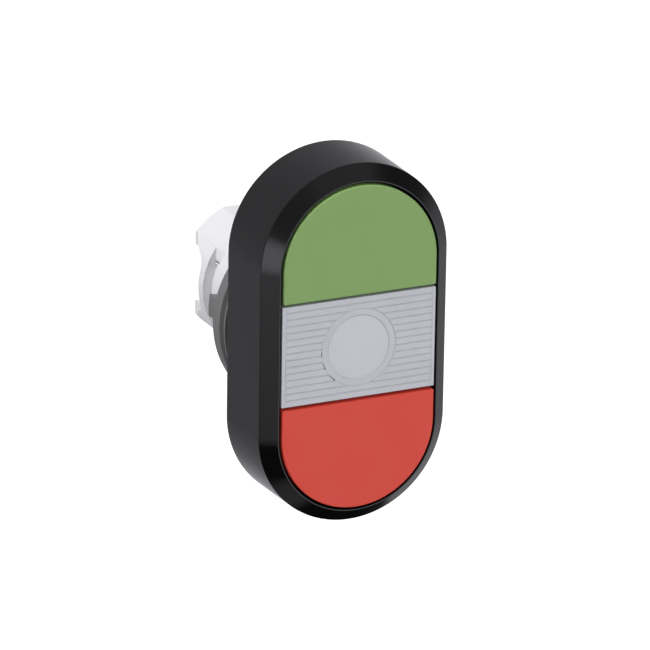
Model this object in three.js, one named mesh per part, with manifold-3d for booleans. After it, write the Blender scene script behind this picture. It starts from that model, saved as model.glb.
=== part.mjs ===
// A twin pushbutton operator with a pilot light, for a 22.5 mm panel cut-out.
//
// Millimetres. +Z is up and +X is to the right of someone facing the buttons, who looks along +Y.
// The barrel's axis is the Y axis, and y = 0 is the plane where the gasket meets the panel.
// Everything in front of the panel has y < 0; the barrel and its nut have y > 0.
import * as THREE from "three";
import { mergeVertices } from "three/addons/utils/BufferGeometryUtils.js";
import Module from "manifold-3d";

const wasm = await Module();
wasm.setup();

// ---------------------------------------------------------------- driving dimensions

const GAP = 0.3; // clearance between neighbouring pieces
const FAR = 60; // longer than the whole part, for cutting boxes

// The head is a stadium: two half circles of radius HEAD_R, HALF_STRAIGHT above and below the axis.
const HEAD_R = 14.8;
const HEAD_HEIGHT = 54;
const HALF_STRAIGHT = HEAD_HEIGHT / 2 - HEAD_R;
const FRONT_Y = -12.8; // the lip of the bezel and the face of the lens
const HEAD_REAR_Y = -0.3;
const LIP_R = 12.3; // the bezel's opening
const LIP_LAND = 0.08; // flat left at the lip
const CHAMFER_DEPTH = 1.94;
const CHAMFER_R = 14.56; // outer radius where the chamfer begins; the draft brings it to HEAD_R
const REAR_RECESS_R = 13.3; // the bezel opens out here to take the base plate and the gasket

// Base plate and panel gasket, both inside the bezel's rear recess.
const BASE_FRONT_Y = -3.2;
const BASE_REAR_Y = -1.4;
const PLATE_R = REAR_RECESS_R - GAP;
const NECK_HOLE_R = 11.3;
const GASKET_LAND = { width: 2.2, height: 0.25 };

// Buttons.
const CAP_GAP = 0.4; // all round a cap
const CAP_R = LIP_R - CAP_GAP;
const CAP_FRONT_Y = FRONT_Y - 0.3; // the caps stand a little proud of the lip
const CAP_EDGE = 0.2; // chamfer round a cap's face
const CAP_INSIDE_Y = -11.2; // inner side of a cap's face
const CAP_WALL = 1.2;
const CAP_REAR_Y = -8.2;
const LENS_HALF_HEIGHT = 7.5;
const CAP_FLOOR_Z = LENS_HALF_HEIGHT + CAP_GAP; // the straight edge of a cap
const LUG = { z: 10.6, width: 2, depth: 1.2, reach: 0.8 }; // stops that keep a cap in the bezel

// Springs, two under each cap.
const SPRING = { x: 6.8, z: 17, radius: 1.95, wire: 0.45, turns: 5, steps_per_turn: 10 };
const POST = { radius: 1.1, height: 3.2 };
const SOCKET = { inner: 2.6, outer: 3.3, depth: 1.6 };

// Plungers, one for each button, running through the barrel.
const PLUNGER = { z: 6.4, radius: 1.5, rear: 19.5, half_width: 3.6, plate: 1.6, reach: 14 };
const BOOT = { inner: 1.75, outer: 2.25, folds: 2, fold_depth: 0.4 };

// Lens, diffuser and light guide.
const LENS_HALF_WIDTH = LIP_R - GAP;
const LENS_THICK = 1.9;
const LENS_GROOVES = 14;
const GROOVE = { pitch: 1.03, width: 0.28, depth: 0.22 };
const LENS_MARGIN = 0.5; // smooth strip at the lens's left and right edges
const WINDOW = { rim: 5.9, bore: 5.1, depth: 1.3 };
const LEG = { inner: 11.2, half_width: 3 };
const DIFFUSER = { radius: 4.75, crown: 0.35, thick: 1.5 };
const GUIDE = { radius: 2.8, flange: 3.45, rear: 19.8 };

// Barrel.
const BARREL_R = 10.2;
const BARREL_BORE = 8.2;
const REAR_BORE = { radius: 8.5, front: 19 }; // the bore opens out at its rear end
const BARREL_REAR_Y = 25.7;
const NECK_R = 11; // the threaded neck that the nut runs on
const NECK_REAR_Y = 5.2;
const FLANGE = { radius: 12.2, flat_x: 10.9, front: -4, rear: -3.5 };
const WEB_REAR_Y = -2;
const BAYONET = { front: 15, rear: 18.1, floor: 8.75, half_angle: 38 };
const BAYONET_RAMP = { angle: 9, foot: 9.65 }; // the ramp at each end drops to radius foot in this many degrees
const WINDOW_REAR = { half_height: 4.35, front: 19.7, corner: 2 };
const TOOTH_FLAT = { x: 7.95, z: 9.5, front: 20.3 };
const TOOTH_FLARE = { front_z: 3.45, slope: 0.59 }; // the flats' upper and lower edges run out at this slope
const PLUNGER_GUIDE = { front: 12.5, rear: 14.5 };

// Clamping nut.
const NUT = { radius: 14.7, bore: 11.3, front: 0.7, rear: 4.9 };
const NUT_GROOVE = { front: 1, rear: 2.4, radius: 14 };
const NUT_TEETH = { count: 6, outer: 12.6, rear: 10.8, width: 16.5, start: -9.5 }; // start and width in degrees

// ---------------------------------------------------------------- materials

function material(color, roughness, metalness = 0) {
  return new THREE.MeshStandardMaterial({ color, roughness, metalness });
}

const BLACK = 0x1d1d1f;
const WHITE = 0xeeeeef;
const GREEN = 0x5f9a4c;
const RED = 0xd03a2e;
const GREY = 0x757575;
const CLEAR = 0xbfc2c8;
const MILKY = 0xd6d8dc;
const RUBBER = 0x121212;
const STEEL = 0xb4b6b8;

// ---------------------------------------------------------------- geometry helpers

// A closed geometry as a manifold solid.
function solid(geometry) {
  const bare = geometry.index ? geometry.toNonIndexed() : geometry.clone();
  bare.deleteAttribute("normal");
  bare.deleteAttribute("uv");
  const merged = mergeVertices(bare, 1e-4);
  return new wasm.Manifold(
    new wasm.Mesh({
      numProp: 3,
      vertProperties: new Float32Array(merged.attributes.position.array),
      triVerts: new Uint32Array(merged.index.array),
    }),
  );
}

// A manifold solid as a geometry with flat faces.
function geometryOf(body) {
  const mesh = body.getMesh();
  const geometry = new THREE.BufferGeometry();
  const positions = new THREE.BufferAttribute(new Float32Array(mesh.vertProperties), 3);
  geometry.setAttribute("position", positions);
  geometry.setIndex(new THREE.BufferAttribute(new Uint32Array(mesh.triVerts), 1));
  geometry.computeVertexNormals();
  return geometry;
}

// Profile points [radius, y], put in the order that makes a lathe's faces point outwards.
function outward(profile) {
  const points = profile.map(([radius, y]) => new THREE.Vector2(radius, y));
  return THREE.ShapeUtils.isClockWise(points) ? points.reverse() : points;
}

// A solid turned about the Y axis. A ring's profile repeats its first point at the end.
function turned(profile, segments = 48) {
  return solid(new THREE.LatheGeometry(outward(profile), segments));
}

// A solid turned about a line parallel to Y through (x, z).
function turnedAt(x, z, profile, segments = 20) {
  return turned(profile, segments).translate([x, 0, z]);
}

// A profile turned about Y and then pulled apart along Z, so that its plan is a stadium.
function stadium(profile, segments = 64) {
  const points = outward(profile);
  const step = (2 * Math.PI) / segments;
  const lathe = new THREE.LatheGeometry(points, segments, step / 2);
  const position = lathe.attributes.position;
  const widen = 1 / Math.cos(step / 2); // brings the straight sides out to the full radius
  for (let i = 0; i < position.count; i++) {
    const column = Math.floor(i / points.length);
    const upper = Math.cos((column + 0.5) * step) > 0;
    position.setX(i, position.getX(i) * widen);
    position.setZ(i, position.getZ(i) + (upper ? HALF_STRAIGHT : -HALF_STRAIGHT));
  }
  return solid(lathe);
}

function disc(radius, front, rear) {
  return [[0, front], [radius, front], [radius, rear], [0, rear]];
}

function ring(inner, outer, front, rear) {
  return [[inner, front], [outer, front], [outer, rear], [inner, rear], [inner, front]];
}

function block(x, y, z) {
  const geometry = new THREE.BoxGeometry(x[1] - x[0], y[1] - y[0], z[1] - z[0]);
  geometry.translate((x[0] + x[1]) / 2, (y[0] + y[1]) / 2, (z[0] + z[1]) / 2);
  return solid(geometry);
}

function sum(bodies) {
  return bodies.reduce((total, body) => total.add(body));
}

// A ring sector about the Y axis; angles in degrees from +X towards +Z.
function sector(inner, outer, front, rear, from, to, steps = 3) {
  const outline = new THREE.Shape();
  const start = THREE.MathUtils.degToRad(from);
  const end = THREE.MathUtils.degToRad(to);
  outline.moveTo(outer * Math.cos(start), outer * Math.sin(start));
  outline.absarc(0, 0, outer, start, end, false);
  outline.lineTo(inner * Math.cos(end), inner * Math.sin(end));
  outline.absarc(0, 0, inner, end, start, true);
  return extrudedY(outline, front, rear, steps);
}

// A shape drawn in X and Z, given thickness along Y.
function extrudedY(outline, front, rear, curveSegments = 12) {
  const geometry = new THREE.ExtrudeGeometry(outline, {
    depth: rear - front,
    bevelEnabled: false,
    curveSegments,
  });
  geometry.rotateX(Math.PI / 2); // shape Y becomes Z, and the depth runs towards -Y
  geometry.translate(0, rear, 0);
  return solid(geometry);
}

const part = new THREE.Group();

function place(name, body, surface) {
  const geometry = body.isBufferGeometry ? body : geometryOf(body);
  const mesh = new THREE.Mesh(geometry, surface);
  mesh.name = name;
  part.add(mesh);
}

// ---------------------------------------------------------------- head

function bezel() {
  const outer = [
    [0, FRONT_Y],
    [LIP_R + LIP_LAND, FRONT_Y],
    [CHAMFER_R, FRONT_Y + CHAMFER_DEPTH],
    [HEAD_R, HEAD_REAR_Y],
    [0, HEAD_REAR_Y],
  ];
  const recessFront = BASE_FRONT_Y - GAP;
  const lugPocket = (side, half) =>
    block(
      side > 0 ? [0, LIP_R + LUG.reach] : [-LIP_R - LUG.reach, 0],
      [CAP_REAR_Y - LUG.depth - GAP, recessFront + 1],
      [half * LUG.z - LUG.width / 2 - GAP, half * LUG.z + LUG.width / 2 + GAP],
    );
  const pockets = [-1, 1].flatMap((side) => [-1, 1].map((half) => lugPocket(side, half)));
  return stadium(outer)
    .subtract(stadium(disc(LIP_R, FRONT_Y - 1, 0)))
    .subtract(stadium(disc(REAR_RECESS_R, recessFront, 0)))
    .subtract(sum(pockets));
}

function basePlate() {
  const plate = stadium(disc(PLATE_R, BASE_FRONT_Y, BASE_REAR_Y));
  const posts = springPlaces().map(({ x, z }) =>
    turnedAt(x, z, disc(POST.radius, BASE_FRONT_Y - POST.height, BASE_REAR_Y)),
  );
  return sum([plate, ...posts]).subtract(turned(disc(NECK_HOLE_R, -FAR, FAR)));
}

// A flat gasket with a raised land round its edge, which is what touches the panel.
function panelGasket() {
  const web = stadium(disc(PLATE_R, BASE_REAR_Y + GAP, -GASKET_LAND.height));
  const land = stadium(ring(PLATE_R - GASKET_LAND.width, PLATE_R, BASE_REAR_Y + 2 * GAP, 0));
  return web.add(land).subtract(turned(disc(NECK_HOLE_R, -FAR, FAR)));
}

// ---------------------------------------------------------------- buttons

function springPlaces() {
  const places = [];
  for (const half of [1, -1])
    for (const side of [-1, 1])
      places.push({
        name: `${half > 0 ? "green" : "red"}_spring_${side > 0 ? "right" : "left"}`,
        x: side * SPRING.x,
        z: half * SPRING.z,
      });
  return places;
}

// The upper cap for half = 1, the lower one for half = -1.
function cap(half) {
  const above = (z) => (half > 0 ? [z, FAR] : [-FAR, -z]);
  const everywhere = [-FAR, FAR];
  const outer = stadium([
    [0, CAP_FRONT_Y],
    [CAP_R - CAP_EDGE, CAP_FRONT_Y],
    [CAP_R, CAP_FRONT_Y + CAP_EDGE],
    [CAP_R, CAP_REAR_Y],
    [0, CAP_REAR_Y],
  ]).intersect(block(everywhere, everywhere, above(CAP_FLOOR_Z)));
  const cavity = stadium(disc(CAP_R - CAP_WALL, CAP_INSIDE_Y, 0)).intersect(
    block(everywhere, everywhere, above(CAP_FLOOR_Z + CAP_WALL)),
  );
  const notchHalf = PLUNGER.half_width + GAP;
  const plungerNotch = block(
    [-notchHalf, notchHalf],
    [CAP_INSIDE_Y, 0],
    half > 0 ? [0, CAP_FLOOR_Z + 2 * CAP_WALL] : [-CAP_FLOOR_Z - 2 * CAP_WALL, 0],
  );
  const socketProfile = ring(
    SOCKET.inner,
    SOCKET.outer,
    (CAP_FRONT_Y + CAP_INSIDE_Y) / 2,
    CAP_INSIDE_Y + SOCKET.depth,
  );
  const sockets = [-1, 1].map((side) =>
    turnedAt(side * SPRING.x, half * SPRING.z, socketProfile),
  );
  const lugs = [-1, 1].map((side) =>
    block(
      side > 0 ? [CAP_R - CAP_WALL, CAP_R + LUG.reach] : [-CAP_R - LUG.reach, CAP_WALL - CAP_R],
      [CAP_REAR_Y - LUG.depth, CAP_REAR_Y],
      [half * LUG.z - LUG.width / 2, half * LUG.z + LUG.width / 2],
    ),
  );
  return sum([outer.subtract(cavity).subtract(plungerNotch), ...sockets, ...lugs]);
}

// A cranked rod: a plate under the cap carries a round rod that runs back inside the barrel.
function plunger(half) {
  const plateFront = CAP_INSIDE_Y + GAP;
  const edges = [half * (PLUNGER.z - PLUNGER.radius), half * PLUNGER.reach].sort((a, b) => a - b);
  const plate = block(
    [-PLUNGER.half_width, PLUNGER.half_width],
    [plateFront, plateFront + PLUNGER.plate],
    edges,
  );
  const lensClearance = block(
    [-FAR, FAR],
    [-FAR, FRONT_Y + LENS_THICK + GAP],
    [-CAP_FLOOR_Z, CAP_FLOOR_Z],
  );
  const rod = turnedAt(0, half * PLUNGER.z, disc(PLUNGER.radius, plateFront + 1, PLUNGER.rear));
  return plate.add(rod).subtract(lensClearance);
}

function springPath({ x, z }, front, rear) {
  class Helix extends THREE.Curve {
    getPoint(t, target = new THREE.Vector3()) {
      const angle = 2 * Math.PI * SPRING.turns * t;
      return target.set(
        x + SPRING.radius * Math.cos(angle),
        front + (rear - front) * t,
        z + SPRING.radius * Math.sin(angle),
      );
    }
  }
  return new Helix();
}

function spring(place) {
  const section = new THREE.Shape();
  section.absarc(0, 0, SPRING.wire / 2, 0, 2 * Math.PI);
  const front = CAP_INSIDE_Y + GAP + SPRING.wire / 2;
  const rear = BASE_FRONT_Y - GAP - SPRING.wire / 2;
  return new THREE.ExtrudeGeometry(section, {
    curveSegments: 3, // a coarse round wire
    steps: SPRING.turns * SPRING.steps_per_turn,
    extrudePath: springPath(place, front, rear),
  });
}

// A rubber bellows round a plunger, from its plate to the barrel's front web.
function boot(half) {
  const front = CAP_INSIDE_Y + PLUNGER.plate + 2 * GAP;
  const rear = FLANGE.front - GAP;
  const thick = BOOT.outer - BOOT.inner;
  const outside = [];
  const count = 2 * BOOT.folds;
  for (let i = 0; i <= count; i++)
    outside.push([BOOT.outer + (i % 2) * BOOT.fold_depth, front + ((rear - front) * i) / count]);
  const inside = outside.map(([radius, y]) => [radius - thick, y]).reverse();
  return turnedAt(0, half * PLUNGER.z, [...outside, ...inside, outside[0]], 20);
}

// ---------------------------------------------------------------- lens and light path

function lens() {
  const plate = block(
    [-LENS_HALF_WIDTH, LENS_HALF_WIDTH],
    [FRONT_Y, FRONT_Y + LENS_THICK],
    [-LENS_HALF_HEIGHT, LENS_HALF_HEIGHT],
  );
  const legs = [-1, 1].map((side) =>
    block(
      side > 0 ? [LEG.inner, LENS_HALF_WIDTH] : [-LENS_HALF_WIDTH, -LEG.inner],
      [FRONT_Y + LENS_THICK / 2, BASE_FRONT_Y - GAP],
      [-LEG.half_width, LEG.half_width],
    ),
  );
  const window = turned([
    [0, FRONT_Y - 1],
    [WINDOW.rim, FRONT_Y - 1],
    [WINDOW.rim, FRONT_Y],
    [WINDOW.bore, FRONT_Y + WINDOW.depth / 2],
    [WINDOW.bore, FRONT_Y + LENS_THICK + 1],
    [0, FRONT_Y + LENS_THICK + 1],
  ]);
  return sum([plate, ...legs]).subtract(lensGrooves()).subtract(window);
}

// Fine horizontal V grooves that stop at the window's rim.
function lensGrooves() {
  const half = GROOVE.width / 2;
  const length = 2 * (LENS_HALF_WIDTH - LENS_MARGIN);
  const grooves = [];
  for (let i = 0; i < LENS_GROOVES; i++) {
    const z = (i - (LENS_GROOVES - 1) / 2) * GROOVE.pitch;
    const vee = new THREE.Shape([
      new THREE.Vector2(-half, -half),
      new THREE.Vector2(half, -half),
      new THREE.Vector2(0, GROOVE.depth),
    ]);
    const bar = new THREE.ExtrudeGeometry(vee, { depth: length, bevelEnabled: false });
    bar.rotateY(Math.PI / 2); // the bar now runs along X
    bar.translate(-length / 2, 0, 0);
    bar.translate(0, FRONT_Y, z);
    grooves.push(solid(bar));
  }
  return sum(grooves).subtract(turned(disc(WINDOW.rim + GROOVE.width, -FAR, FAR)));
}

function diffuser() {
  const face = FRONT_Y + WINDOW.depth;
  const steps = 4;
  const dome = [];
  for (let i = 0; i <= steps; i++) {
    const radius = (DIFFUSER.radius * i) / steps;
    dome.push([radius, face - DIFFUSER.crown * (1 - (i / steps) ** 2)]);
  }
  return turned([...dome, [DIFFUSER.radius, face + DIFFUSER.thick], [0, face + DIFFUSER.thick]], 32);
}

function lightGuide() {
  const front = FRONT_Y + WINDOW.depth + DIFFUSER.thick + GAP;
  const flangeRear = FLANGE.front - 3 * GAP;
  return turned(
    [
      [0, front],
      [GUIDE.radius, front],
      [GUIDE.radius, flangeRear - 1],
      [GUIDE.flange, flangeRear - 1],
      [GUIDE.flange, flangeRear],
      [GUIDE.radius, flangeRear],
      [GUIDE.radius, GUIDE.rear],
      [0, GUIDE.rear],
    ],
    32,
  );
}

function guideSeal() {
  const front = FLANGE.front - 2 * GAP;
  return turned(ring(GUIDE.radius + 0.1, GUIDE.flange, front, front + GAP), 32);
}

function plungerHoles(radius) {
  return [-1, 1].map((half) => turnedAt(0, half * PLUNGER.z, disc(radius, -FAR, FAR)));
}

function plungerGuide() {
  const plate = turned(disc(BARREL_BORE - GAP, PLUNGER_GUIDE.front, PLUNGER_GUIDE.rear));
  const holes = sum([...plungerHoles(PLUNGER.radius + GAP), turned(disc(GUIDE.radius + GAP, -FAR, FAR))]);
  return plate.subtract(holes);
}

// ---------------------------------------------------------------- barrel and nut

function bayonetGroove(centre) {
  const half = BAYONET.half_angle;
  const outer = BARREL_R + 1;
  const middle = sector(
    BAYONET.floor,
    outer,
    BAYONET.front,
    BAYONET.rear,
    centre - half + BAYONET_RAMP.angle,
    centre + half - BAYONET_RAMP.angle,
  );
  return sum([middle, grooveRamp(centre, half), grooveRamp(centre, -half)]);
}

// The flat ramp at one end of the groove, from a step above its floor up to the barrel's surface.
function grooveRamp(centre, end) {
  const at = (degrees, radius) => {
    const angle = THREE.MathUtils.degToRad(degrees);
    return new THREE.Vector2(radius * Math.cos(angle), radius * Math.sin(angle));
  };
  const inward = -Math.sign(end);
  const foot = centre + end + inward * BAYONET_RAMP.angle;
  const overlap = inward * 0.5;
  const outline = [
    at(centre + end, BARREL_R),
    at(foot, BAYONET_RAMP.foot),
    at(foot + overlap, BAYONET_RAMP.foot),
    at(foot + overlap, BARREL_R + 1),
    at(centre + end, BARREL_R + 1),
  ];
  if (THREE.ShapeUtils.isClockWise(outline)) outline.reverse();
  return extrudedY(new THREE.Shape(outline), BAYONET.front, BAYONET.rear);
}

// A shape drawn in Y and Z, given thickness along X from one x to another.
function extrudedX(outline, from, to) {
  const geometry = new THREE.ExtrudeGeometry(outline, {
    depth: to - from,
    bevelEnabled: false,
    curveSegments: 4,
  });
  const turn = new THREE.Matrix4().makeBasis(
    new THREE.Vector3(0, 1, 0),
    new THREE.Vector3(0, 0, 1),
    new THREE.Vector3(1, 0, 0),
  );
  geometry.applyMatrix4(turn);
  geometry.translate(from, 0, 0);
  return solid(geometry);
}

// The opening through both sides of the barrel's rear end, with round corners at its front.
function sideWindow() {
  const { half_height: half, front, corner } = WINDOW_REAR;
  const outline = new THREE.Shape();
  outline.moveTo(FAR, half);
  outline.lineTo(front + corner, half);
  outline.absarc(front + corner, half - corner, corner, Math.PI / 2, Math.PI, false);
  outline.absarc(front + corner, corner - half, corner, Math.PI, 1.5 * Math.PI, false);
  outline.lineTo(FAR, -half);
  return extrudedX(outline, -FAR, FAR);
}

// Cuts one side of the two rear teeth flat; the cut widens towards the rear.
function toothFlat(side) {
  const halfAt = (y) => TOOTH_FLARE.front_z + TOOTH_FLARE.slope * (y - WINDOW_REAR.front);
  const { front } = TOOTH_FLAT;
  const outline = new THREE.Shape([
    new THREE.Vector2(FAR, halfAt(FAR)),
    new THREE.Vector2(front, halfAt(front)),
    new THREE.Vector2(front, -halfAt(front)),
    new THREE.Vector2(FAR, -halfAt(FAR)),
  ]);
  return side > 0 ? extrudedX(outline, TOOTH_FLAT.x, FAR) : extrudedX(outline, -FAR, -TOOTH_FLAT.x);
}

function barrel() {
  const flange = turned(disc(FLANGE.radius, FLANGE.front, FLANGE.rear)).intersect(
    block([-FLANGE.flat_x, FLANGE.flat_x], [-FAR, FAR], [-FAR, FAR]),
  );
  const shaft = turned([
    [0, FLANGE.front],
    [NECK_R - GAP, FLANGE.front],
    [NECK_R, FLANGE.rear],
    [NECK_R, NECK_REAR_Y],
    [BARREL_R, NECK_REAR_Y],
    [BARREL_R, BARREL_REAR_Y],
    [0, BARREL_REAR_Y],
  ], 72);
  const bore = turned([
    [0, WEB_REAR_Y],
    [BARREL_BORE, WEB_REAR_Y],
    [BARREL_BORE, REAR_BORE.front],
    [REAR_BORE.radius, REAR_BORE.front + GAP],
    [REAR_BORE.radius, FAR],
    [0, FAR],
  ]);
  const webHoles = [
    ...plungerHoles(PLUNGER.radius + GAP),
    turned(disc(GUIDE.radius + GAP, -FAR, FAR), 32),
  ];
  const rear = [TOOTH_FLAT.front, FAR];
  const everywhere = [-FAR, FAR];
  const flats = [
    block(everywhere, rear, [TOOTH_FLAT.z, FAR]),
    block(everywhere, rear, [-FAR, -TOOTH_FLAT.z]),
  ];
  return shaft
    .add(flange)
    .subtract(bore)
    .subtract(sum(webHoles))
    .subtract(sideWindow())
    .subtract(sum(flats))
    .subtract(toothFlat(1))
    .subtract(toothFlat(-1))
    .subtract(bayonetGroove(0))
    .subtract(bayonetGroove(180));
}

function clampNut() {
  const body = turned([
    [NUT.bore, NUT.front],
    [NUT.radius, NUT.front],
    [NUT.radius, NUT_GROOVE.front],
    [NUT_GROOVE.radius, NUT_GROOVE.front + GAP / 2],
    [NUT_GROOVE.radius, NUT_GROOVE.rear],
    [NUT.radius, NUT_GROOVE.rear + GAP / 2],
    [NUT.radius, NUT.rear],
    [NUT.bore, NUT.rear],
    [NUT.bore, NUT.front],
  ], 72);
  const teeth = [];
  for (let i = 0; i < NUT_TEETH.count; i++) {
    const start = NUT_TEETH.start + (360 / NUT_TEETH.count) * i;
    const end = start + NUT_TEETH.width;
    teeth.push(sector(NUT.bore, NUT_TEETH.outer, NUT.rear - 1, NUT_TEETH.rear, start, end));
  }
  return sum([body, ...teeth]);
}

// ---------------------------------------------------------------- assembly

place("bezel", bezel(), material(BLACK, 0.35));
place("base_plate", basePlate(), material(BLACK, 0.6));
place("panel_gasket", panelGasket(), material(RUBBER, 0.9));
place("barrel", barrel(), material(WHITE, 0.5));
place("clamp_nut", clampNut(), material(GREY, 0.6));
place("plunger_guide", plungerGuide(), material(BLACK, 0.6));
place("lens", lens(), material(CLEAR, 0.2));
place("diffuser", diffuser(), material(MILKY, 0.4));
place("light_guide", lightGuide(), material(CLEAR, 0.1));
place("light_guide_seal", guideSeal(), material(RUBBER, 0.9));

for (const [colour, half, paint] of [["green", 1, GREEN], ["red", -1, RED]]) {
  place(`${colour}_cap`, cap(half), material(paint, 0.45));
  place(`${colour}_plunger`, plunger(half), material(WHITE, 0.5));
  place(`${colour}_boot`, boot(half), material(RUBBER, 0.9));
}

for (const at of springPlaces()) place(at.name, spring(at), material(STEEL, 0.3, 1));

export default part;
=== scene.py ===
# A twin pushbutton operator with a pilot light: the finished pieces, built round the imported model.
#
# Shapes are drawn in millimetres in the row's frame (+Z up, the buttons face -Y, the barrel's axis
# is the Y axis) and become metres when a piece is finished.
import math

import bmesh
import bpy
from mathutils import Matrix, Vector


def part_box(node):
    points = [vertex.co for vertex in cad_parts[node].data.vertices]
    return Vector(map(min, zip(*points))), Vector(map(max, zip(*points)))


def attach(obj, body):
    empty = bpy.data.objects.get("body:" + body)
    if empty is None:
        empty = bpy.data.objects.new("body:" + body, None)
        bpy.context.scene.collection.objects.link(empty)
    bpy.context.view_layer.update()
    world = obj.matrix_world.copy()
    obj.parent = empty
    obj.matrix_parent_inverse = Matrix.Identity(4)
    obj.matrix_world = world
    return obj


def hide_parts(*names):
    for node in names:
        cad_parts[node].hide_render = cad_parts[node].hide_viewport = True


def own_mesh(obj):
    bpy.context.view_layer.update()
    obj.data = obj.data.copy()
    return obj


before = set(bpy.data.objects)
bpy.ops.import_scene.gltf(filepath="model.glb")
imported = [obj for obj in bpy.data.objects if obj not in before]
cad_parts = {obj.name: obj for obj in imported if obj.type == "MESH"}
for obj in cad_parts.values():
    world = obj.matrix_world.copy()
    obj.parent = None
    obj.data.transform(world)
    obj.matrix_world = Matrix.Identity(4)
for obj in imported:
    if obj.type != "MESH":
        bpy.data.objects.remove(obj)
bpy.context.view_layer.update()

MM = 0.001
FAR = 40.0  # cutters that pass right through a piece end this far out
TOUCHING = 1e-5  # two points closer than this are one point
SLIVER = 1e-3  # edges shorter than this are left-overs of a cut
SOFT_EDGE = 0.12  # the round on small moulded edges
HAIR = 0.02  # keeps two surfaces from lying exactly on each other


# ---------------------------------------------------------------- measures taken from the frame


def low_high(node):
    low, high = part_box(node)
    return Vector(low) / MM, Vector(high) / MM


BEZEL_LOW, BEZEL_HIGH = low_high("bezel")
CAP_LOW, CAP_HIGH = low_high("green_cap")
LENS_LOW, LENS_HIGH = low_high("lens")
PLATE_LOW, PLATE_HIGH = low_high("base_plate")
GASKET_LOW, GASKET_HIGH = low_high("panel_gasket")
BARREL_LOW, BARREL_HIGH = low_high("barrel")
NUT_LOW, NUT_HIGH = low_high("clamp_nut")
PLUNGER_LOW, PLUNGER_HIGH = low_high("green_plunger")
BOOT_LOW, BOOT_HIGH = low_high("green_boot")
SPRING_LOW, SPRING_HIGH = low_high("green_spring_right")
DIFFUSER_REAR_Y = low_high("diffuser")[1].y
GUIDE_LOW, GUIDE_HIGH = low_high("light_guide")
SEAL_LOW, SEAL_HIGH = low_high("light_guide_seal")
INSERT_LOW, INSERT_HIGH = low_high("plunger_guide")

FRONT_Y = BEZEL_LOW.y
HEAD_R = BEZEL_HIGH.x
HEAD_REAR_Y = BEZEL_HIGH.y
HALF_STRAIGHT = 12.2  # from the axis to the centre of each half circle of the head

# Bezel.
LIP_R = 12.3
LIP_LAND = 0.16  # the narrow flat round the opening
CHAMFER_R = 14.56
CHAMFER_DEPTH = 1.94
REAR_RECESS_R = 13.3
RECESS_FRONT_Y = -3.5
LUG_POCKET = {"z": 10.6, "half": 1.3, "front": -9.7, "rear": -2.5, "reach": 0.8}
PLATE_FRONT_Y = -3.2
SPRING_POST_R = 1.1
GASKET_LIP = 0.25  # how far the gasket's two lips stand above its web

# Caps.
CAP_R = 11.9
CAP_WALL = 1.2
CAP_INSIDE_Y = -11.2  # the inner side of a cap's face
CAP_ROUND = 0.22  # the soft edge round a cap's face
CAP_CORNER = 0.25
CAP_FLOOR_Z = CAP_LOW.z
SPRING_SOCKET = {"inner": 2.6, "outer": 3.3, "depth": 1.6, "root": 0.5}
CAP_LUG = {"reach": 0.8, "length": 1.2, "half": 1.0}
PLUNGER_PLATE = {"thick": 1.6, "corner": 0.6}
SPRING = {"wire": 0.225, "turns": 6, "steps_per_turn": 36, "end_closing": 0.08}
BOOT = {"folds": 3, "inner": 1.8, "depth": 0.55, "wall": 0.28}

# Lens.
LENS_THICK = 1.9
LENS_CORNER = 0.15
LENS_LEG = {"inner": 11.2, "half": 3.0, "corner": 0.3}
GROOVES = {"count": 14, "pitch": 1.01, "width": 0.3, "depth": 0.12, "margin": 0.55}
BORDER_LINE = 0.1
# Round the window the lens has a shallow ring: its outer edge, its lowest line and the brim inside it.
RING = {"edge": 5.86, "low": 5.72, "low_y": -12.64, "brim": 4.9, "brim_y": -12.72}
SEAT = {"bore": 4.66, "radius": 5.1, "front": -12.58}
# Short slots along the ring's outer edge; each pair is where one starts and ends, in degrees.
SNAP_SLOTS = {"angles": [(179, 187), (198, 207), (219, 231)], "floor_y": -12.4}
DOME_RISE = 0.25

# Barrel and nut.
BARREL_R = 10.2
BORE_R = 8.2
REAR_BORE = {"radius": 8.5, "front": 19.0}
NECK_R = BARREL_HIGH.x
NECK_REAR_Y = 5.2
FLANGE_R = 12.2
FLANGE_FLAT_X = 10.9
FLANGE_REAR_Y = -3.5
WEB_REAR_Y = -2.0
THREAD = {"pitch": 1.0, "depth": 0.35, "front": 0.0, "rear": 5.0}
BAYONET = {"front": 15.0, "rear": 18.1, "floor": 8.75, "half_angle": 38}
BAYONET_RAMP = {"angle": 10, "foot": 9.3}
# At the foot of each ramp there is a slit, and after it a low step; the angles are their widths.
SLIT = {"angle": 1.8, "floor": 8.3, "step": 9.15, "step_angle": 1.0}
SIDE_WINDOW = {"half": 4.35, "front": 19.7, "corner": 2.0}
TOOTH_FLAT = {"x": 7.95, "z": 9.5, "front": 20.3}
TOOTH_FLARE = [(19.7, 2.0), (20.4, 3.75), (26.0, 7.06), (40.0, 15.3)]  # edge of the side flats, as (y, z)
NUT_BORE = 11.3
NUT_REAR_Y = 4.9
NUT_GROOVE = {"front": 1.0, "rear": 2.4, "radius": 14.0}
NUT_TEETH = {"count": 6, "outer": 12.6, "width": 15, "start": -9.5}

PLUNGER_Z = 6.4
PLUNGER_R = 1.5
PLUNGER_GAP = 0.22  # running clearance round the plungers
GUIDE_CORE_R = 2.8
GUIDE_FLANGE = 1.0
SEAL_BORE_R = 2.9
SLIDE_GAP = 0.3  # clearance round the light guide and beside the lens


# ---------------------------------------------------------------- mesh building


def bake(obj):
    """Applies an object's modifiers."""
    bpy.context.view_layer.update()
    evaluated = obj.evaluated_get(bpy.context.evaluated_depsgraph_get())
    mesh = bpy.data.meshes.new_from_object(evaluated)
    obj.modifiers.clear()
    obj.data = mesh


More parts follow.
